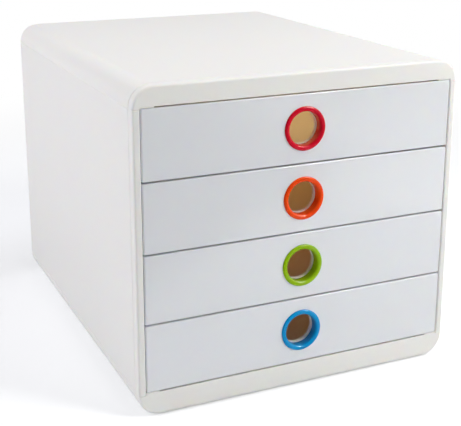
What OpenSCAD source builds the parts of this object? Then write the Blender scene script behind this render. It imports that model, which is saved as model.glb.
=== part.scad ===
// Desktop drawer tower: a moulded plastic case with four sliding drawers.
// Each drawer is a tub with a glossy front and a coloured ring round its finger hole.
// X runs across the front, Y runs from the front to the back, Z runs up.
// The origin lies on the ground, under the middle of the whole tower.

/* [Case] */
// Width of the case
body_w = 288; // [276:1:310]
// Depth of the case from front to back
body_d = 356; // [345:1:400]
// Wall thickness of the case mouldings
case_wall = 2.5; // [2:0.1:3]
// Radius of the four rounded long edges
corner_r = 18; // [15:0.5:19]
// Rounding of the front and rear rims
edge_r = 2.1; // [0.8:0.1:2.4]
// Thickness of the front rails
rail_t = 3; // [2.5:0.1:4]
// Thickness of the turned-in rear rim
rear_rim_t = 2.5; // [2:0.1:3.5]
// Distance of the bezel groove behind the front
groove_back = 9; // [6:0.5:10]
// Width of the bezel groove at its bottom
groove_w = 0.9; // [0.4:0.1:1.4]
// Depth of the bezel groove
groove_deep = 0.7; // [0.5:0.1:1]
// Chamfer along both edges of the bezel groove
groove_soft = 0.3; // [0.1:0.05:0.4]
// Chamfer along the seams of the side panels
seam_chamfer = 0.6; // [0.3:0.1:0.8]

/* [Rails] */
// Height of the rail over the top drawer
top_rail_h = 16; // [14:0.2:17]
// Height of the rail under the bottom drawer
base_rail_h = 19.4; // [19.2:0.2:22]
// Gap between a rail and the nearest drawer front
rail_gap = 1.2; // [0.8:0.1:1.5]
// Width of the small lug that closes the gap at each rail end
lug_w = 11.5; // [8:0.5:14]
// Set-back of the lugs from the rail face
lug_back = 0.4; // [0.2:0.1:1]

/* [Stiffening ribs] */
// Thickness of every stiffening rib
rib_t = 1.6; // [1.2:0.1:2]
// Height of the ribs under the cover
cover_rib_h = 6; // [3:0.5:8]
// Height of the ribs on the base
base_rib_h = 9; // [4:0.5:11]
// Ribs that run from side to side
cross_ribs = 4; // [2:1:6]
// Ribs that run from front to back
long_ribs = 3; // [1:1:5]

/* [Side panels] */
// Width of the front post, seen from the front
post_w = 6; // [5:0.25:8]
// Depth of the front post
post_d = 12; // [11.5:0.5:16]
// Chamfer along the inner edge of the post
post_chamfer = 0.8; // [0.4:0.1:1.2]
// Thickness of the runner and keeper ribs
runner_t = 2; // [1.6:0.1:2.4]
// Free width between a runner and the tub beside it
runner_clear = 2.5; // [1.5:0.1:3.5]
// Gussets under each runner
gussets = 5; // [3:1:7]
// Length of each gusset down the panel
gusset_h = 7; // [4:0.5:9]
// Distance of the gussets from the edge of the runner
gusset_back = 1; // [0.5:0.25:3]
// Tongues that enter the cover and the base
tongues = 4; // [2:1:6]
// Length of each tongue
tongue_len = 46; // [30:1:55]
// Height of each tongue past the seam
tongue_h = 5; // [3:0.5:5.5]
// Thickness of each tongue
tongue_t = 1.9; // [1.5:0.1:2.2]
// Lead-in chamfer on the tip of each tongue
tongue_lead = 0.5; // [0.3:0.1:0.8]
// How far the foot of each tongue reaches down its panel
tongue_root = 5; // [4:0.5:8]
// Distance of the ribs that hold the tongues from the seam
keeper_low = 2; // [1:0.5:3]

/* [Back panel] */
// Thickness of the back panel
panel_t = 2.4; // [2:0.1:3]
// Width of the rear rim of each side panel
rear_rim_w = 8; // [6:0.5:12]
// Height of the raised field on the back panel
panel_field_t = 0.8; // [0.4:0.1:1.2]
// Plain border round the raised field
panel_border = 14; // [10:1:24]

/* [Drawer fronts] */
// Height of each drawer front
front_h = 56.5; // [54:0.5:66]
// Gap between two drawer fronts
front_gap = 1.4; // [1:0.1:2]
// Gap between a drawer front and the post beside it
side_gap = 0.5; // [0.4:0.1:1.2]
// Depth of the hollow drawer front
front_d = 8.4; // [8:0.1:9]
// Thickness of the face of the drawer front
face_t = 2.4; // [2:0.1:3]
// Thickness of the skirt behind the face
skirt_t = 2; // [1.5:0.1:2.5]
// Rounding of the upright edges of the front
front_edge_r = 1.5; // [0.8:0.1:1.8]
// Rounding of the level edges of the front
front_lip_r = 0.8; // [0.4:0.1:1.2]
// Width of each snap tab
tab_w = 10; // [6:0.5:14]
// Thickness of a snap tab
tab_t = 1.6; // [1.2:0.1:2]
// Depth of the barb on a snap tab
tab_barb = 1; // [0.6:0.1:1.4]
// Length of the barb behind the plate of the tub
tab_hook = 2.5; // [1.5:0.1:4]
// Distance of the snap tabs from the middle of the front
tab_x = 96; // [60:2:110]
// Height of the lower snap tabs above the lower edge of the front
tab_low = 9; // [6:0.5:16]
// Distance of the upper snap tabs below the rim of the tub
tab_drop = 4; // [3.5:0.5:10]
// Distance of the outer ribs in the front from the snap tabs
pocket_rib_out = 18; // [8:1:24]

/* [Tubs] */
// Wall thickness of the tub
tub_wall = 2; // [1.6:0.1:2.4]
// Floor thickness of the tub
tub_floor = 2; // [1.6:0.1:2.5]
// Height of the tub
tub_h = 46; // [40:0.5:47]
// Space between the tub floor and the lower edge of the front
tub_lift = 2; // [1:0.5:3]
// Draft of the tub walls, top to bottom
tub_draft = 1.4; // [0.5:0.1:2]
// Radius of the upright corners of the tub
tub_corner_r = 9; // [6:0.5:14]
// Inner radius between the tub floor and its walls
tub_fillet = 3; // [2:0.5:5]
// Width of the rim that hangs on the runners
rim_w = 7.4; // [6:0.1:8]
// Thickness of the rim
rim_t = 2.5; // [2:0.1:3]
// Gap between the rim and the posts that guide it
rim_guide = 0.6; // [0.4:0.1:0.9]
// Thickness of the plate behind the drawer front
plate_t = 2.4; // [2:0.1:2.8]
// How far that plate stays inside the outline of the front
plate_inset = 0.3; // [0.2:0.1:0.5]
// Free space between the tub and the back panel
rear_space = 14; // [10:1:20]
// How far a drawer pulls out
drawer_travel = 250; // [200:5:270]
// Length of the stop ear on the rim
ear_len = 24; // [12:1:30]

/* [Finger rings] */
// Outer radius of the ring flange
ring_r = 18.15; // [17.5:0.05:20]
// Radius of the finger hole
hole_r = 14; // [12.5:0.1:14.2]
// How far the ring stands out from the drawer front
ring_proud = 1.5; // [1:0.1:2]
// Rounding from the ring flange into the hole
ring_roll_r = 1.7; // [1:0.1:2]
// Wall thickness of the ring barrel
barrel_t = 1.2; // [1:0.1:1.3]
// Depth of the ring barrel
barrel_d = 6.6; // [5:0.1:7]
// Height of the snap bead on the barrel
bead_h = 0.7; // [0.4:0.1:0.8]
// Width of the crest of the snap bead
bead_crest = 0.4; // [0.2:0.1:0.8]
// Wall thickness of the collar behind the ring
collar_t = 2; // [1.5:0.1:2]

/* [Feet] */
// Radius of a non-slip pad
foot_r = 8; // [5:0.5:10]
// How far a pad stands out below the base
foot_proud = 1.5; // [1:0.1:3]
// Depth of the pad's recess in the base
foot_seat = 1.5; // [1:0.1:1.8]
// Chamfer round the lower edge of a pad
foot_chamfer = 0.4; // [0.2:0.1:0.8]
// Distance of a pad's centre from the side of the case
foot_in_x = 34; // [28:1:50]
// Distance of a pad's centre from the front or the back
foot_in_y = 32; // [24:1:60]

/* [Fits] */
// Running clearance of the rim in its channel
slide_clear = 0.3; // [0.2:0.05:0.5]
// Clearance round parts that are pushed together
seat_clear = 0.2; // [0.1:0.05:0.3]
// Clearance of the ring barrel in the drawer front
ring_clear = 0.15; // [0.1:0.05:0.25]
// Distance left at the end stops
stop_clear = 0.3; // [0.2:0.05:0.5]

/* [Hidden] */
$fn = 64;
large_fn = 96;
hull_fn = 32;
drawer_count = 4;

// Levels of the case
front_y = (ring_proud - body_d) / 2;
back_y = front_y + body_d;
base_z = foot_proud;
mouth_h = drawer_count * front_h + (drawer_count - 1) * front_gap + 2 * rail_gap;
body_h = base_rail_h + mouth_h + top_rail_h;
seam_low = base_z + corner_r;
seam_high = base_z + body_h - corner_r;
mouth_low = base_z + base_rail_h;
mouth_high = mouth_low + mouth_h;

// Half widths, from the middle of the tower
half_w = body_w / 2;
wall_in = half_w - case_wall;
mouth_half = half_w - post_w;
front_half = mouth_half - side_gap;
rim_half = mouth_half - rim_guide;
tub_half = rim_half - rim_w;
runner_in = tub_half + runner_clear;
ear_half = wall_in - slide_clear;

// Depths, from the front of the case
panel_back = body_d - rear_rim_t;
panel_front = panel_back - panel_t;
plate_back = front_d + plate_t;
tub_end = panel_front - rear_space;
channel_front = post_d;
ear_front = post_d + drawer_travel + stop_clear;

// Heights inside one drawer, from the lower edge of its front
tub_low = tub_lift;
rim_top = tub_low + tub_h;
rim_low = rim_top - rim_t;
hole_z = front_h / 2;
tab_high = rim_low - tab_drop;

// Tongues stand inside the wall, clear of the rounded corner
tongue_out = half_w - corner_r + sqrt(pow(corner_r - case_wall, 2) - pow(tongue_h, 2)) - 2 * seat_clear;
tongue_in = tongue_out - tongue_t;

// Space for cuts that run past a face
past = 1;
// Thickness of the plans that a hull joins, and the smallest radius of their corners
slab_t = 0.01;
slab_r = 0.5;
// Turn between two plans along the bend of the tub, in degrees
bend_turn = 22.5;

// Lower edge of a drawer front; drawer 1 is the top one
function drawer_z(number) = mouth_low + rail_gap + (drawer_count - number) * (front_h + front_gap);

// Centre of copy i of n that share a length evenly
function share(length, n, i) = length * (i + 0.5) / n;

// Place of a pad: side is -1 or 1 for left or right, end is 0 or 1 for front or back
function foot_x(side) = side * (half_w - foot_in_x);
function foot_y(end) = end == 0 ? front_y + foot_in_y : back_y - foot_in_y;

// ---- Shared outline ----

// Rectangle with four rounded corners, from its lower left corner
module rounded_rect(size, r) {
    translate([r, 0]) square([size.x - 2 * r, size.y]);
    translate([0, r]) square([size.x, size.y - 2 * r]);
    for (x = [r, size.x - r], y = [r, size.y - r]) {
        translate([x, y]) circle(r);
    }
}

// ---- Sections carried round the case ----

// Lays a section (height out from the seam, depth) along the flat top
module along_top(length) {
    rotate([0, -90, 0]) linear_extrude(length, center = true) children();
}

// Turns the same section round one rounded long edge
module round_edge() {
    rotate([-90, 0, 0]) rotate([0, 0, -90]) rotate_extrude(angle = 90, $fn = large_fn) children();
}

// Carries a section from seam to seam over both rounded edges
module seam_to_seam() {
    flat_half = half_w - corner_r;
    along_top(2 * flat_half) children();
    for (side = [0, 1]) {
        mirror([side, 0, 0]) translate([flat_half, 0, 0]) round_edge() children();
    }
}

// Bezel groove with softened edges, cut into the outer face
module groove_cut() {
    translate([corner_r, groove_back])
        polygon([
            [-groove_deep, 0], [-groove_deep, groove_w], [-groove_soft, groove_w],
            [past, groove_w + groove_soft + past], [past, -groove_soft - past], [-groove_soft, 0]
        ]);
}

// Solid section with rounded rims and the bezel groove
module outer_section() {
    difference() {
        union() {
            square([corner_r - edge_r, body_d]);
            translate([0, edge_r]) square([corner_r, body_d - 2 * edge_r]);
            translate([corner_r - edge_r, edge_r]) circle(edge_r);
            translate([corner_r - edge_r, body_d - edge_r]) circle(edge_r);
        }
        groove_cut();
    }
}

// Section of the hollow inside
module hollow_section() {
    translate([0, rail_t]) square([corner_r - case_wall, body_d - rail_t - rear_rim_t]);
}

// Shell of the cover, seam down, front at y = 0; the base is its mirror image
module half_shell() {
    difference() {
        seam_to_seam() outer_section();
        seam_to_seam() hollow_section();
    }
}

// Ribs under the skin of the cover or the base
module skin_ribs(rib_h) {
    skin = corner_r - case_wall;
    span_x = 2 * (half_w - corner_r);
    span_y = panel_front - rail_t - seat_clear;
    for (i = [0 : cross_ribs - 1]) {
        translate([-span_x / 2, rail_t + share(span_y, cross_ribs, i) - rib_t / 2, skin - rib_h])
            cube([span_x, rib_t, rib_h + case_wall / 2]);
    }
    for (i = [0 : long_ribs - 1]) {
        translate([-span_x / 2 + share(span_x, long_ribs, i) - rib_t / 2, rail_t - past, skin - rib_h])
            cube([rib_t, span_y + past, rib_h + case_wall / 2]);
    }
}

// Ribs that hold the tongues of the side panels from the inside
module keeper_ribs() {
    keep_half = tongue_in - seat_clear;
    centre_x = half_w - corner_r;
    reach = sqrt(pow(corner_r - case_wall / 2, 2) - pow(keep_half - centre_x, 2));
    for (side = [0, 1], i = [0 : tongues - 1]) {
        mirror([side, 0, 0])
            translate([keep_half - rib_t, share(body_d, tongues, i) - tongue_len / 2, keeper_low])
            cube([rib_t, tongue_len, reach - keeper_low]);
    }
}

// Lugs at both ends of a rail; the rail edge is at z = 0 and they point down
module rail_lugs(inner_half) {
    lug_h = rail_gap - stop_clear;
    for (side = [0, 1]) {
        mirror([side, 0, 0])
            translate([mouth_half - lug_w, lug_back, -lug_h])
            cube([lug_w - mouth_half + inner_half, rail_t - lug_back, lug_h + past / 2]);
    }
}

module top_cover() {
    rail_edge = mouth_high - seam_high;
    color("white") translate([0, front_y, seam_high]) {
        difference() {
            union() {
                half_shell();
                skin_ribs(cover_rib_h);
                keeper_ribs();
            }
            translate([-mouth_half, -past, -past])
                cube([2 * mouth_half, rail_t + 2 * past, rail_edge + past]);
        }
        translate([0, 0, rail_edge]) rail_lugs(mouth_half);
    }
}

// Places its children at the four pads, on the outer face of the base
module at_feet() {
    for (side = [-1, 1], end = [0, 1]) {
        translate([foot_x(side), foot_y(end), base_z]) children();
    }
}

// Recess for one non-slip pad, cut from the outer face of the base
module foot_recess() {
    translate([0, 0, -past]) cylinder(r = foot_r + seat_clear, h = foot_seat + past);
}

module base() {
    upstand_h = mouth_low - seam_low;
    upstand_half = mouth_half - seat_clear / 2;
    color("white") difference() {
        union() {
            translate([0, front_y, seam_low]) {
                mirror([0, 0, 1]) {
                    half_shell();
                    skin_ribs(base_rib_h);
                    keeper_ribs();
                }
                translate([-upstand_half, 0, -past])
                    cube([2 * upstand_half, rail_t, upstand_h + past]);
                translate([0, 0, upstand_h]) mirror([0, 0, 1]) rail_lugs(upstand_half);
            }
            at_feet() cylinder(r = foot_r + seat_clear + rib_t, h = foot_seat + case_wall);
        }
        at_feet() foot_recess();
    }
}

// ---- Side panels ----

// Plan of a side panel on the right: skin, front post and rear rim within the outline of the cover
module side_plan() {
    bracket_front = panel_front - seat_clear - rib_t;
    difference() {
        intersection() {
            translate([half_w - corner_r, 0]) outer_section();
            union() {
                translate([wall_in, 0]) square([case_wall, body_d]);
                translate([mouth_half, 0]) square([post_w, post_d]);
                translate([half_w - rear_rim_w, panel_back]) square([rear_rim_w, rear_rim_t]);
                translate([half_w - rear_rim_w, bracket_front]) square([rear_rim_w, rib_t]);
            }
        }
        translate([mouth_half, 0]) rotate(45) square(post_chamfer * sqrt(2), center = true);
    }
}

// One channel: runner below the rim, keeper above it, gussets and the rear stop
module channel(number) {
    reach = wall_in - runner_in;
    length = panel_front - seat_clear - rib_t - channel_front;
    z_low = drawer_z(number) + rim_low - slide_clear - runner_t;
    z_high = drawer_z(number) + rim_top + slide_clear;
    translate([runner_in, channel_front - past / 2, z_low])
        cube([reach + past / 2, length + past, runner_t]);
    translate([runner_in, channel_front - past / 2, z_high])
        cube([reach + past / 2, length + past, runner_t]);
    translate([runner_in, tub_end + stop_clear, z_low])
        cube([reach + past / 2, rib_t, z_high - z_low + runner_t]);
    for (i = [0 : gussets - 1]) {
        translate([0, channel_front + share(length, gussets, i) + rib_t / 2, z_low])
            rotate([90, 0, 0]) linear_extrude(rib_t)
            polygon([
                [runner_in + gusset_back, 0], [wall_in + past / 2, 0],
                [wall_in + past / 2, -gusset_h], [wall_in, -gusset_h]
            ]);
    }
}

// Tongues over one seam; the seam is at z = 0 and they point up
module tongue_row() {
    foot_rise = (wall_in - tongue_in) / 2;
    for (i = [0 : tongues - 1]) {
        translate([0, share(body_d, tongues, i) + tongue_len / 2, 0])
            rotate([90, 0, 0]) linear_extrude(tongue_len)
            polygon([
                [wall_in + past / 2, -tongue_root], [wall_in, -tongue_root],
                [tongue_in, foot_rise - tongue_root], [tongue_in, tongue_h - tongue_lead],
                [tongue_in + tongue_lead, tongue_h], [tongue_out, tongue_h],
                [tongue_out, 0], [wall_in + past / 2, 0]
            ]);
    }
}

// Chamfer cut along a seam, on the side and on the face of the post
module seam_cut() {
    side = seam_chamfer * sqrt(2);
    translate([half_w, body_d / 2, 0]) rotate([0, 45, 0])
        cube([side, body_d + 2 * past, side], center = true);
    translate([mouth_half + post_w / 2, 0, 0]) rotate([45, 0, 0])
        cube([post_w + 2 * past, side, side], center = true);
}

module right_panel() {
    difference() {
        union() {
            translate([0, 0, seam_low]) linear_extrude(seam_high - seam_low) side_plan();
            for (number = [1 : drawer_count]) channel(number);
            translate([0, 0, seam_high]) tongue_row();
            translate([0, 0, seam_low]) mirror([0, 0, 1]) tongue_row();
        }
        translate([0, 0, seam_high]) seam_cut();
        translate([0, 0, seam_low]) seam_cut();
    }
}

module right_side() {
    color("white") translate([0, front_y, 0]) right_panel();
}

module left_side() {
    color("white") translate([0, front_y, 0]) mirror([1, 0, 0]) right_panel();
}

// ---- Back panel ----

module back_panel() {
    panel_half = wall_in - seat_clear;
    panel_r = corner_r - case_wall - seat_clear;
    low = seam_low - panel_r;
    high = seam_high + panel_r;
    field_half = half_w - rear_rim_w - panel_border;
    color("white") translate([0, front_y + panel_back, 0]) {
        translate([-panel_half, 0, low]) rotate([90, 0, 0])
            linear_extrude(panel_t) rounded_rect([2 * panel_half, high - low], panel_r);
        translate([-field_half, -past, seam_low + panel_border])
            cube([2 * field_half, past + panel_field_t, seam_high - seam_low - 2 * panel_border]);
    }
}

// ---- Drawer fronts ----

// Rectangle whose corners at y = 0 are rounded
module rounded_near(size, r) {
    translate([0, r]) square([size.x, size.y - r]);
    translate([r, 0]) square([size.x - 2 * r, size.y]);
    for (x = [r, size.x - r]) {
        translate([x, r]) circle(r);
    }
}

// Outer block of a drawer front: three rounded outlines meet in it
module front_block() {
    width = 2 * front_half;
    intersection() {
        translate([-front_half, front_d, 0]) rotate([90, 0, 0])
            linear_extrude(front_d) rounded_rect([width, front_h], front_edge_r);
        translate([-front_half, 0, 0])
            linear_extrude(front_h) rounded_near([width, front_d], front_edge_r);
        translate([-front_half, 0, 0]) rotate([90, 0, 90])
            linear_extrude(width) mirror([1, -1, 0]) rounded_near([front_h, front_d], front_lip_r);
    }
}

// One snap tab with its barb behind the plate of the tub
module snap_tab() {
    catch_y = plate_back + seat_clear;
    tip_y = catch_y + tab_hook;
    rotate([90, 0, 90]) linear_extrude(tab_w, center = true)
        polygon([
            [face_t - past / 2, 0], [tip_y, 0], [tip_y, tab_t],
            [catch_y, tab_t + tab_barb], [catch_y, tab_t], [face_t - past / 2, tab_t]
        ]);
}

// Places its children at the four snap tabs
module at_tabs() {
    for (x = [-tab_x, tab_x], z = [tab_low, tab_high]) {
        translate([x, 0, z]) children();
    }
}

module drawer_front() {
    pocket_half = front_half - skirt_t;
    barrel_r = hole_r + barrel_t;
    boss_in = hole_r + collar_t + seat_clear;
    difference() {
        union() {
            difference() {
                front_block();
                translate([-pocket_half, face_t, skirt_t])
                    cube([2 * pocket_half, front_d, front_h - 2 * skirt_t]);
            }
            translate([0, face_t / 2, hole_z]) rotate([-90, 0, 0])
                cylinder(r = boss_in + rib_t, h = front_d - face_t / 2);
            for (side = [-1, 1], x = [tab_x / 2, tab_x + pocket_rib_out]) {
                translate([side * x - rib_t / 2, face_t / 2, skirt_t / 2])
                    cube([rib_t, front_d - face_t / 2, front_h - skirt_t]);
            }
        }
        translate([0, -past, hole_z]) rotate([-90, 0, 0])
            cylinder(r = barrel_r + ring_clear, h = face_t + 2 * past);
        translate([0, face_t, hole_z]) rotate([-90, 0, 0])
            cylinder(r = boss_in, h = front_d);
    }
    at_tabs() snap_tab();
}

// ---- Tubs ----

// Thin plan of the tub, drawn in by an inset, for the hulls below
module tub_slab(inset, y_front, y_rear, z) {
    r = max(tub_corner_r - inset, slab_r);
    translate([-tub_half + inset, y_front, z]) linear_extrude(slab_t)
        rounded_rect([2 * (tub_half - inset), y_rear - y_front], r, $fn = hull_fn);
}

// Bend of the tub at one turn: 0 degrees is where it leaves the floor, 90 where it meets the wall
function bend_in(r, turn) = r * (1 - sin(turn));
function bend_up(r, turn) = r * (1 - cos(turn));

// Outside of the tub: drafted walls over a bend as thick as the floor
module tub_outside() {
    outer_r = tub_fillet + tub_floor;
    hull() {
        for (turn = [0 : bend_turn : 90]) {
            inset = tub_draft + bend_in(outer_r, turn);
            tub_slab(inset, front_d, tub_end - inset, tub_low + bend_up(outer_r, turn));
        }
        tub_slab(0, front_d, tub_end, rim_top - slab_t);
    }
}

// Hollow of the tub, with the same draft
module tub_inside() {
    floor_z = tub_low + tub_floor;
    foot_inset = tub_wall + tub_draft;
    hull() {
        for (turn = [0 : bend_turn : 90]) {
            in = bend_in(tub_fillet, turn);
            up = bend_up(tub_fillet, turn);
            tub_slab(foot_inset + in, plate_back + in, tub_end - foot_inset - in, floor_z + up);
        }
        tub_slab(tub_wall, plate_back, tub_end - tub_wall, rim_top + past);
    }
}

// Rim round the top of the tub, with a stop ear on each side
module tub_rim() {
    rim_front = front_d + plate_t / 2;
    translate([-rim_half, rim_front, rim_low])
        cube([2 * rim_half, tub_end - rim_front, rim_t]);
    for (side = [0, 1]) {
        mirror([side, 0, 0]) translate([rim_half - past, ear_front, rim_low])
            cube([ear_half - rim_half + past, ear_len, rim_t]);
    }
}

// Plate behind the drawer front, with the collar that meets the ring
module tub_plate() {
    collar_front = barrel_d + seat_clear;
    translate([-front_half + plate_inset, plate_back, plate_inset]) rotate([90, 0, 0])
        linear_extrude(plate_t)
        rounded_rect([2 * (front_half - plate_inset), front_h - 2 * plate_inset], front_edge_r);
    translate([0, collar_front, hole_z]) rotate([-90, 0, 0])
        cylinder(r = hole_r + collar_t, h = plate_back - collar_front);
}

module drawer_tray() {
    slot_w = tab_w + 2 * seat_clear;
    slot_h = tab_t + tab_barb + 2 * seat_clear;
    difference() {
        union() {
            tub_outside();
            tub_rim();
            tub_plate();
        }
        tub_inside();
        translate([0, -past, hole_z]) rotate([-90, 0, 0])
            cylinder(r = hole_r, h = plate_back + 2 * past);
        at_tabs() translate([-slot_w / 2, front_d - past, -seat_clear])
            cube([slot_w, plate_t + 2 * past, slot_h]);
    }
}

// ---- Rings ----

// Half section of the ring: radius across, depth behind the drawer face up
module ring_section() {
    barrel_r = hole_r + barrel_t;
    bead_y = face_t + ring_clear;
    roll_x = hole_r + ring_roll_r;
    rim_x = ring_r - ring_proud;
    difference() {
        union() {
            translate([roll_x, ring_roll_r - ring_proud]) circle(ring_roll_r);
            translate([rim_x, 0]) circle(ring_proud);
            translate([roll_x, -ring_proud]) square([rim_x - roll_x, ring_proud]);
        }
        translate([barrel_r, 0]) square([ring_r, ring_roll_r + ring_proud]);
    }
    translate([hole_r, ring_roll_r - ring_proud])
        square([barrel_t, barrel_d - ring_roll_r + ring_proud]);
    translate([barrel_r, bead_y])
        polygon([
            [-barrel_t / 2, 0], [bead_h, 0], [bead_h, bead_crest],
            [0, bead_crest + 2 * bead_h], [-barrel_t / 2, bead_crest + 2 * bead_h]
        ]);
}

module finger_ring() {
    translate([0, 0, hole_z]) rotate([-90, 0, 0]) rotate_extrude($fn = large_fn) ring_section();
}

// ---- Pieces at their places ----

module at_drawer(number) {
    translate([0, front_y, drawer_z(number)]) children();
}

module foot_pad(side, end) {
    color("gainsboro") translate([foot_x(side), foot_y(end), 0]) {
        cylinder(r1 = foot_r - foot_chamfer, r2 = foot_r, h = foot_chamfer);
        translate([0, 0, foot_chamfer])
            cylinder(r = foot_r, h = foot_proud + foot_seat - foot_chamfer);
    }
}

module drawer_1_front() { color("whitesmoke") at_drawer(1) drawer_front(); }
module drawer_2_front() { color("whitesmoke") at_drawer(2) drawer_front(); }
module drawer_3_front() { color("whitesmoke") at_drawer(3) drawer_front(); }
module drawer_4_front() { color("whitesmoke") at_drawer(4) drawer_front(); }

module drawer_1_tray() { color("ivory") at_drawer(1) drawer_tray(); }
module drawer_2_tray() { color("ivory") at_drawer(2) drawer_tray(); }
module drawer_3_tray() { color("ivory") at_drawer(3) drawer_tray(); }
module drawer_4_tray() { color("ivory") at_drawer(4) drawer_tray(); }

module drawer_1_ring() { color("crimson") at_drawer(1) finger_ring(); }
module drawer_2_ring() { color("orangered") at_drawer(2) finger_ring(); }
module drawer_3_ring() { color("yellowgreen") at_drawer(3) finger_ring(); }
module drawer_4_ring() { color("deepskyblue") at_drawer(4) finger_ring(); }

module foot_front_left() { foot_pad(-1, 0); }
module foot_front_right() { foot_pad(1, 0); }
module foot_rear_left() { foot_pad(-1, 1); }
module foot_rear_right() { foot_pad(1, 1); }

top_cover();
base();
left_side();
right_side();
back_panel();
drawer_1_front();
drawer_2_front();
drawer_3_front();
drawer_4_front();
drawer_1_tray();
drawer_2_tray();
drawer_3_tray();
drawer_4_tray();
drawer_1_ring();
drawer_2_ring();
drawer_3_ring();
drawer_4_ring();
foot_front_left();
foot_front_right();
foot_rear_left();
foot_rear_right();
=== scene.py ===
import math

import bpy
from mathutils import Matrix, Vector


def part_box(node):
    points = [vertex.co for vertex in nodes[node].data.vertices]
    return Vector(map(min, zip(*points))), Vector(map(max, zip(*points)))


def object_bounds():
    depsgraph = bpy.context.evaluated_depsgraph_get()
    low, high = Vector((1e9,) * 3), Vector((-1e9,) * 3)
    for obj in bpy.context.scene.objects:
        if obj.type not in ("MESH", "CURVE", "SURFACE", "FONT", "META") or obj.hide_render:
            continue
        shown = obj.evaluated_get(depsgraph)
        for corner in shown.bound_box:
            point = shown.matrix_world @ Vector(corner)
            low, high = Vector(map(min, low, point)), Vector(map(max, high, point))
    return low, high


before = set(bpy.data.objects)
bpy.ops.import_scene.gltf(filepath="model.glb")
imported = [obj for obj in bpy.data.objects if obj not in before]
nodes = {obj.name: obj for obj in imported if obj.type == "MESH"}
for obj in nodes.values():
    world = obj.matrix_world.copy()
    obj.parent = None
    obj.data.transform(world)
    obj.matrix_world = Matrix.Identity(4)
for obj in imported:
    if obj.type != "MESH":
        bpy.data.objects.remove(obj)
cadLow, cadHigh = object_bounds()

scene = bpy.context.scene
print("frame loaded:", len(nodes), "nodes")

drawers = (1, 2, 3, 4)  # from the top down

# Which nodes wear which finish; the keys are the record's material slots.
finishes = {
    "case_white": ["top_cover", "base", "left_side", "right_side", "back_panel"],
    "front_gloss": ["drawer_%d_front" % n for n in drawers],
    "tray_white": ["drawer_%d_tray" % n for n in drawers],
    "ring_red": ["drawer_1_ring"],
    "ring_orange": ["drawer_2_ring"],
    "ring_green": ["drawer_3_ring"],
    "ring_blue": ["drawer_4_ring"],
    "foot_rubber": ["foot_front_left", "foot_front_right", "foot_rear_left", "foot_rear_right"],
}


# Small helpers for node trees. In all functions below, s is the settings dictionary of the piece.
def addNode(tree, kind, inputs=None, **settings):
    node = tree.nodes.new(kind)
    for key, value in settings.items():
        setattr(node, key, value)
    for key, value in (inputs or {}).items():
        node.inputs[key].default_value = value
    return node


def join(tree, source, target):
    tree.links.new(source, target)


def noiseAt(tree, place, scale, detail):
    noise = addNode(tree, "ShaderNodeTexNoise", {"Scale": scale, "Detail": detail})
    join(tree, place, noise.inputs["Vector"])
    return noise.outputs["Fac"]


def spread(tree, value, fromLow, fromHigh, low, high):
    span = addNode(tree, "ShaderNodeMapRange",
                   {"From Min": fromLow, "From Max": fromHigh, "To Min": low, "To Max": high})
    join(tree, value, span.inputs["Value"])
    return span.outputs["Result"]


def tinted(tree, factor, first, second):
    mix = addNode(tree, "ShaderNodeMix", data_type="RGBA")
    mix.inputs["A"].default_value = (*first, 1.0)
    mix.inputs["B"].default_value = (*second, 1.0)
    join(tree, factor, mix.inputs["Factor"])
    return mix.outputs["Result"]


def bumped(tree, height, strength, distance, under=None):
    bump = addNode(tree, "ShaderNodeBump", {"Strength": strength, "Distance": distance})
    join(tree, height, bump.inputs["Height"])
    if under is not None:
        join(tree, under, bump.inputs["Normal"])
    return bump.outputs["Normal"]


# What all finishes share: a cloudy pattern goes between two tones and between two roughnesses.
def startFinish(name, tones, s):
    material = bpy.data.materials.new(name)
    material.use_nodes = True
    tree = material.node_tree
    shader = next(n for n in tree.nodes if n.type == "BSDF_PRINCIPLED")
    place = addNode(tree, "ShaderNodeTexCoord").outputs["Object"]
    cloud = noiseAt(tree, place, s["cloudScale"], s["cloudDetail"])
    join(tree, tinted(tree, cloud, *tones), shader.inputs["Base Color"])
    join(tree, spread(tree, cloud, *s["cloudSpan"], *s["roughness"]), shader.inputs["Roughness"])
    return material, tree, shader, place


# Plastic lets light in a little way, which comes out again beside where it went in.
def letLightIn(shader, s):
    shader.inputs["Specular IOR Level"].default_value = s["specular"]
    shader.inputs["Subsurface Weight"].default_value = s["subsurface"]
    shader.inputs["Subsurface Radius"].default_value = s["radius"]
    shader.inputs["Subsurface Scale"].default_value = s["scale"]


# Moulded case: satin white with a fine grain, faint flow marks and slightly duller patches from handling.
# Scales are per metre, depths in metres.
casePlastic = {
    "tones": ((0.930, 0.922, 0.892), (0.915, 0.907, 0.876)), "roughness": (0.42, 0.60),
    "cloudScale": 9.0, "cloudDetail": 3.0, "cloudSpan": (0.0, 1.0),
    "waveScale": 38.0, "waveDetail": 2.0, "waveDepth": 0.00006, "waveStrength": 0.10,
    "grainScale": 2600.0, "grainDetail": 2.0, "grainDepth": 0.00002, "grainStrength": 0.25,
    "specular": 0.5, "subsurface": 0.25, "radius": (1.0, 0.6, 0.25), "scale": 0.0006,
}

# Polished drawer fronts: cooler white, nearly mirror-smooth, with the gentle waviness of a thin moulded panel.
frontPlastic = dict(
    casePlastic, tones=((0.850, 0.867, 0.902), (0.840, 0.858, 0.894)), roughness=(0.03, 0.13),
    cloudScale=14.0, waveScale=24.0, waveStrength=0.12, grainStrength=0.02, specular=0.8,
)

# Tubs: plain semi-gloss white, a little warmer.
trayPlastic = dict(
    casePlastic, tones=((0.905, 0.895, 0.872), (0.89, 0.878, 0.852)), roughness=(0.27, 0.39),
    grainStrength=0.12,
)


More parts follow.
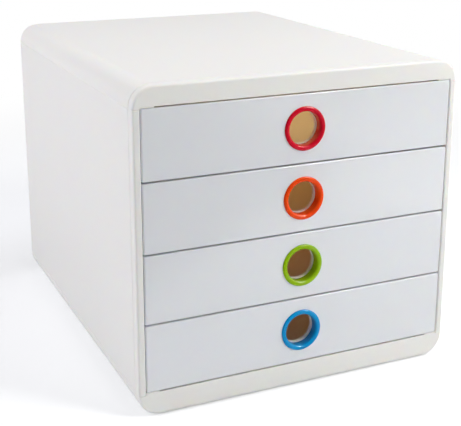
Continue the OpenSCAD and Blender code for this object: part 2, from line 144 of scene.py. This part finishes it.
def paintPanel(name, s):
    material, tree, shader, place = startFinish(name, s["tones"], s)
    waves = noiseAt(tree, place, s["waveScale"], s["waveDetail"])
    grains = noiseAt(tree, place, s["grainScale"], s["grainDetail"])
    wavy = bumped(tree, waves, s["waveStrength"], s["waveDepth"])
    join(tree, bumped(tree, grains, s["grainStrength"], s["grainDepth"], wavy), shader.inputs["Normal"])
    letLightIn(shader, s)
    return material


# Finger rings: saturated glossy plastic; each has its own two tones.
ringTones = {
    "ring_red": ((0.72, 0.002, 0.024), (0.62, 0.001, 0.018)),
    "ring_orange": ((1.00, 0.085, 0.002), (0.90, 0.060, 0.001)),
    "ring_green": ((0.34, 0.56, 0.001), (0.28, 0.50, 0.001)),
    "ring_blue": ((0.001, 0.33, 0.70), (0.001, 0.28, 0.62)),
}
ringPlastic = {
    "roughness": (0.12, 0.18), "cloudScale": 60.0, "cloudDetail": 3.0, "cloudSpan": (0.3, 0.7),
    "waveScale": 140.0, "waveDetail": 2.0, "waveDepth": 0.00003, "waveStrength": 0.08,
    "specular": 0.22, "subsurface": 0.4, "radius": (1.0, 1.0, 1.0), "scale": 0.0015,
}


def paintRing(name, tones, s):
    material, tree, shader, place = startFinish(name, tones, s)
    waves = noiseAt(tree, place, s["waveScale"], s["waveDetail"])
    join(tree, bumped(tree, waves, s["waveStrength"], s["waveDepth"]), shader.inputs["Normal"])
    letLightIn(shader, s)
    return material


# Non-slip pads: dull grey-white rubber with a fine pebbled skin.
padRubber = {
    "tones": ((0.62, 0.62, 0.60), (0.50, 0.50, 0.48)), "roughness": (0.62, 0.80),
    "cloudScale": 120.0, "cloudDetail": 4.0, "cloudSpan": (0.3, 0.7),
    "grainScale": 1800.0, "grainDetail": 2.0, "grainDepth": 0.00008, "grainStrength": 0.5,
}


def paintPad(name, s):
    material, tree, shader, place = startFinish(name, s["tones"], s)
    grains = noiseAt(tree, place, s["grainScale"], s["grainDetail"])
    join(tree, bumped(tree, grains, s["grainStrength"], s["grainDepth"]), shader.inputs["Normal"])
    return material


materials = {
    "case_white": paintPanel("caseWhite", casePlastic),
    "front_gloss": paintPanel("frontGloss", frontPlastic),
    "tray_white": paintPanel("trayWhite", trayPlastic),
    "foot_rubber": paintPad("footRubber", padRubber),
}
for slot, tones in ringTones.items():
    materials[slot] = paintRing(slot.replace("_", ""), tones, ringPlastic)

# Every moulded edge is broken slightly, so that it catches the light as a real one does. Metres.
edges = {"width": 0.00025, "segments": 2, "angle": math.radians(34), "merge": 0.00001}


def softenEdges(piece, s):
    weld = piece.modifiers.new("weld", "WELD")
    weld.merge_threshold = s["merge"]
    bevel = piece.modifiers.new("softEdges", "BEVEL")
    bevel.width = s["width"]
    bevel.segments = s["segments"]
    bevel.limit_method = "ANGLE"
    bevel.angle_limit = s["angle"]
    bevel.harden_normals = True


for slot, names in finishes.items():
    for name in names:
        piece = nodes[name]
        piece.data.materials.clear()
        piece.data.materials.append(materials[slot])
        softenEdges(piece, edges)
print("finishes on", sum(len(names) for names in finishes.values()), "nodes")


# More helpers for node trees, for the floor and the studio.
def either(tree, first, second):
    pick = addNode(tree, "ShaderNodeMath", operation="MAXIMUM")
    join(tree, first, pick.inputs[0])
    join(tree, second, pick.inputs[1])
    return pick.outputs[0]


def times(tree, first, second):
    product = addNode(tree, "ShaderNodeMath", operation="MULTIPLY")
    join(tree, first, product.inputs[0])
    join(tree, second, product.inputs[1])
    return product.outputs[0]


def ramp(tree, value, start, end, low=0.0, high=1.0):
    curve = addNode(tree, "ShaderNodeMapRange",
                    {"From Min": start, "From Max": end, "To Min": low, "To Max": high},
                    interpolation_type="SMOOTHSTEP")
    join(tree, value, curve.inputs["Value"])
    return curve.outputs["Result"]


def blend(tree, share, first, second):
    mix = addNode(tree, "ShaderNodeMixShader")
    join(tree, share, mix.inputs["Fac"])
    join(tree, first, mix.inputs[1])
    join(tree, second, mix.inputs[2])
    return mix.outputs[0]


def glowing(tree, colour):
    return addNode(tree, "ShaderNodeEmission", {"Color": (*colour, 1.0)})


# Plain pale floor, which keeps the soft shadow of the tower. Distances in metres, ahead of the tower's front and
# to its right.
pureWhite = (1.0, 1.0, 1.0)
ground = {
    "reach": 30.0, "tone": (0.79, 0.805, 0.82),
    "lift": 0.36, "fadeFrom": 0.35, "fadeTo": 1.1,  # the camera sees it lifted, and white far off
    # Painted reflection: glossy rays see the paper end along a slanted line in front, with a painted dim room
    # behind it but for the right.
    "room": (0.13, 0.13, 0.15), "edgeAhead": 0.283, "edgeSlant": 0.82, "edgeSoft": 0.03,
    "rightFrom": 0.34, "rightTo": 0.50,
    # They also see a painted pool of lamp light on it.
    "pool": 0.25, "poolRight": 0.405, "poolAhead": 0.43, "poolRadius": 0.11, "poolSoft": 0.03,
}
towerFront = cadLow[1]


# Where reflections see the painted dim room: ahead of the slanted edge, and not to the right.
def paintedRoomShare(tree, place, s):
    parts = addNode(tree, "ShaderNodeSeparateXYZ")
    join(tree, place, parts.inputs[0])
    slanted = addNode(tree, "ShaderNodeMath", {1: s["edgeSlant"]}, operation="MULTIPLY_ADD")
    join(tree, parts.outputs["X"], slanted.inputs[0])
    join(tree, parts.outputs["Y"], slanted.inputs[2])
    edge = towerFront - s["edgeAhead"]
    ahead = ramp(tree, slanted.outputs[0], edge + s["edgeSoft"], edge - s["edgeSoft"])
    notRight = ramp(tree, parts.outputs["X"], s["rightFrom"], s["rightTo"], 1.0, 0.0)
    return times(tree, ahead, notRight)


# A painted pool of lamp light, which only reflections see on the floor.
def paintedPoolGlow(tree, place, s):
    middle = (s["poolRight"], towerFront - s["poolAhead"], 0.0)
    apart = addNode(tree, "ShaderNodeVectorMath", {1: middle}, operation="DISTANCE")
    join(tree, place, apart.inputs[0])
    outer, inner = s["poolRadius"] + s["poolSoft"], s["poolRadius"] - s["poolSoft"]
    return ramp(tree, apart.outputs["Value"], outer, inner, 0.0, s["pool"])


def floorPaper(s):
    material = bpy.data.materials.new("floorWhite")
    material.use_nodes = True
    tree = material.node_tree
    tree.nodes.clear()
    output = addNode(tree, "ShaderNodeOutputMaterial")
    place = addNode(tree, "ShaderNodeTexCoord").outputs["Object"]
    seen = addNode(tree, "ShaderNodeLightPath")
    direct = either(tree, seen.outputs["Is Camera Ray"], seen.outputs["Is Transmission Ray"])
    mirrored = seen.outputs["Is Glossy Ray"]

    paint = addNode(tree, "ShaderNodeBsdfDiffuse", {"Color": (*s["tone"], 1.0)})
    # Emission strength: the lift for the camera, plus the painted pool of light for reflections.
    strength = addNode(tree, "ShaderNodeMath", {1: s["lift"]}, operation="MULTIPLY_ADD")
    join(tree, direct, strength.inputs[0])
    join(tree, times(tree, mirrored, paintedPoolGlow(tree, place, s)), strength.inputs[2])
    glow = glowing(tree, pureWhite)
    join(tree, strength.outputs[0], glow.inputs["Strength"])
    lifted = addNode(tree, "ShaderNodeAddShader")
    join(tree, paint.outputs[0], lifted.inputs[0])
    join(tree, glow.outputs[0], lifted.inputs[1])

    away = addNode(tree, "ShaderNodeVectorMath", operation="LENGTH")
    join(tree, place, away.inputs[0])
    far = times(tree, direct, ramp(tree, away.outputs["Value"], s["fadeFrom"], s["fadeTo"]))
    faded = blend(tree, far, lifted.outputs[0], glowing(tree, pureWhite).outputs[0])
    # Painted reflection: glossy rays see the dim room colour there instead of the floor.
    dim = times(tree, mirrored, paintedRoomShare(tree, place, s))
    join(tree, blend(tree, dim, faded, glowing(tree, s["room"]).outputs[0]), output.inputs["Surface"])
    return material


def layFloor(s):
    reach = s["reach"]
    corners = [(-reach, -reach, 0), (reach, -reach, 0), (reach, reach, 0), (-reach, reach, 0)]
    mesh = bpy.data.meshes.new("floor")
    mesh.from_pydata(corners, [], [(0, 1, 2, 3)])
    mesh.materials.append(floorPaper(s))
    floor = bpy.data.objects.new("floor", mesh)
    scene.collection.objects.link(floor)


layFloor(ground)
print("floor laid")

# Studio: a white background for the camera, an even fill light, and reflections of a white surround that is dim
# towards the front left, where the room is. Azimuth runs from the front to the right, in degrees.
surround = {
    "white": 1.0, "fill": 0.20, "tint": (1.0, 1.0, 1.01),
    "mirror": 0.65, "room": 0.10, "azimuth": -15.0, "elevation": 5.0,
    "dimFrom": 0.35, "dimTo": 0.80,  # cosines of the angle from the room's middle
}


def towards(azimuth, elevation):
    turn, rise = math.radians(azimuth), math.radians(elevation)
    return Vector((math.sin(turn) * math.cos(rise), -math.cos(turn) * math.cos(rise), math.sin(rise)))


def lightSurround(s):
    world = bpy.data.worlds.new("studio")
    scene.world = world
    world.use_nodes = True
    tree = world.node_tree
    tree.nodes.clear()
    output = addNode(tree, "ShaderNodeOutputWorld")
    fill = addNode(tree, "ShaderNodeBackground", {"Color": (*s["tint"], 1.0), "Strength": s["fill"]})
    white = addNode(tree, "ShaderNodeBackground", {"Color": (*pureWhite, 1.0), "Strength": s["white"]})
    mirrored = addNode(tree, "ShaderNodeBackground", {"Color": (*pureWhite, 1.0)})
    seen = addNode(tree, "ShaderNodeLightPath")
    direct = either(tree, seen.outputs["Is Camera Ray"], seen.outputs["Is Transmission Ray"])
    facing = addNode(tree, "ShaderNodeVectorMath", {1: towards(s["azimuth"], s["elevation"])},
                     operation="DOT_PRODUCT")
    join(tree, addNode(tree, "ShaderNodeTexCoord").outputs["Generated"], facing.inputs[0])
    join(tree, ramp(tree, facing.outputs["Value"], s["dimFrom"], s["dimTo"], s["mirror"], s["room"]),
         mirrored.inputs["Strength"])
    soft = blend(tree, seen.outputs["Is Glossy Ray"], fill.outputs[0], mirrored.outputs[0])
    join(tree, blend(tree, direct, soft, white.outputs[0]), output.inputs["Surface"])


lightSurround(surround)
print("surround lit")

# Soft boxes: azimuth runs from the front to the right, elevation up, both in degrees; distance, width and height
# in metres.
softBoxes = {
    "high": {"azimuth": 75, "elevation": 58, "distance": 1.7, "width": 0.8, "height": 0.8,
             "watts": 9.8, "colour": (0.985, 0.985, 1.03)},
    "right": {"azimuth": 52, "elevation": 5, "distance": 1.0, "width": 0.4, "height": 0.4,
              "watts": 1.35, "colour": (1.0, 0.99, 0.95)},
    "left": {"azimuth": -100, "elevation": 30, "distance": 1.5, "width": 1.2, "height": 1.2,
             "watts": 12.8, "colour": (0.99, 0.97, 1.015)},
    "key": {"azimuth": 36, "elevation": 38, "distance": 1.5, "width": 0.35, "height": 0.35,
            "watts": 8.1, "colour": (1.0, 0.99, 0.95)},
}
towerMiddle = (cadLow + cadHigh) / 2


def newLamp(name, width, height, watts, colour):
    lamp = bpy.data.lights.new(name, "AREA")
    lamp.shape = "RECTANGLE"
    lamp.size, lamp.size_y = width, height
    lamp.energy = watts
    lamp.color = colour
    holder = bpy.data.objects.new(name, lamp)
    scene.collection.objects.link(holder)
    return holder


def hangSoftBox(name, s):
    box = newLamp(name, s["width"], s["height"], s["watts"], s["colour"])
    away = towards(s["azimuth"], s["elevation"])
    box.location = towerMiddle + away * s["distance"]
    box.rotation_euler = away.to_track_quat("Z", "Y").to_euler()
    return box


for name, settings in softBoxes.items():
    hangSoftBox(name, settings)
print("studio lit by", len(softBoxes), "soft boxes")

# A broad strip that only the rings reflect gives each of them its thin glint.
glintStrip = {"azimuth": 46, "elevation": 37, "distance": 1.5, "width": 0.9, "height": 0.2,
              "watts": 48.0, "colour": (1.0, 1.0, 1.0)}


def hangGlintStrip(s):
    strip = hangSoftBox("glintStrip", s)
    strip.visible_diffuse = False
    strip.visible_camera = False
    rings = bpy.data.collections.new("rings")
    for slot in ringTones:
        for name in finishes[slot]:
            rings.objects.link(nodes[name])
    strip.light_linking.receiver_collection = rings


hangGlintStrip(glintStrip)
print("glint strip hung")

# The thin white walls let a little warm light into the closed bays, most of it through the cover. A small lamp
# over each tub stands for it; watts and colours run from the top bay to the bottom one, sizes in metres.
bayGlow = {
    "watts": (0.078, 0.035, 0.024, 0.0165),
    "colours": ((1.0, 0.62, 0.26), (1.0, 0.46, 0.135), (1.0, 0.43, 0.15), (1.0, 0.46, 0.17)),
    "width": 0.20, "depth": 0.24, "above": 0.0005,
}


def hangBayLamp(drawer, watts, colour, s):
    low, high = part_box("drawer_%d_tray" % drawer)
    lamp = newLamp("bayGlow%d" % drawer, s["width"], s["depth"], watts, colour)
    lamp.location = ((low[0] + high[0]) / 2, (low[1] + high[1]) / 2, high[2] + s["above"])
    lamp.visible_camera = False


for drawer, watts, colour in zip(drawers, bayGlow["watts"], bayGlow["colours"]):
    hangBayLamp(drawer, watts, colour, bayGlow)
print("bays lit by", len(drawers), "warm lamps")

# Camera at the front left, a little above the tower. Angles in degrees, place in metres, focal length in pixels
# of a frame 461 wide and 426 high; the optical axis meets that frame above its middle.
view = {"place": (-0.37340, -0.85871, 0.41421), "yaw": 24.354, "down": 15.302, "roll": -0.047,
        "focal": 1005.5, "frame": (461, 426), "axisRow": 155.0, "sensor": 36.0}


def setCamera(s):
    width, height = s["frame"]
    camera = bpy.data.cameras.new("camera")
    camera.sensor_width = s["sensor"]
    camera.lens = s["focal"] / width * s["sensor"]
    camera.shift_y = -(height / 2 - s["axisRow"]) / width
    yaw, down, roll = (math.radians(s[key]) for key in ("yaw", "down", "roll"))
    turn = Matrix.Rotation(-yaw, 4, "Z") @ Matrix.Rotation(math.pi / 2 - down, 4, "X")
    holder = bpy.data.objects.new("camera", camera)
    holder.matrix_world = Matrix.Translation(s["place"]) @ turn @ Matrix.Rotation(-roll, 4, "Z")
    scene.collection.objects.link(holder)
    scene.camera = holder


setCamera(view)
scene.view_settings.view_transform = "Standard"
print("camera set")
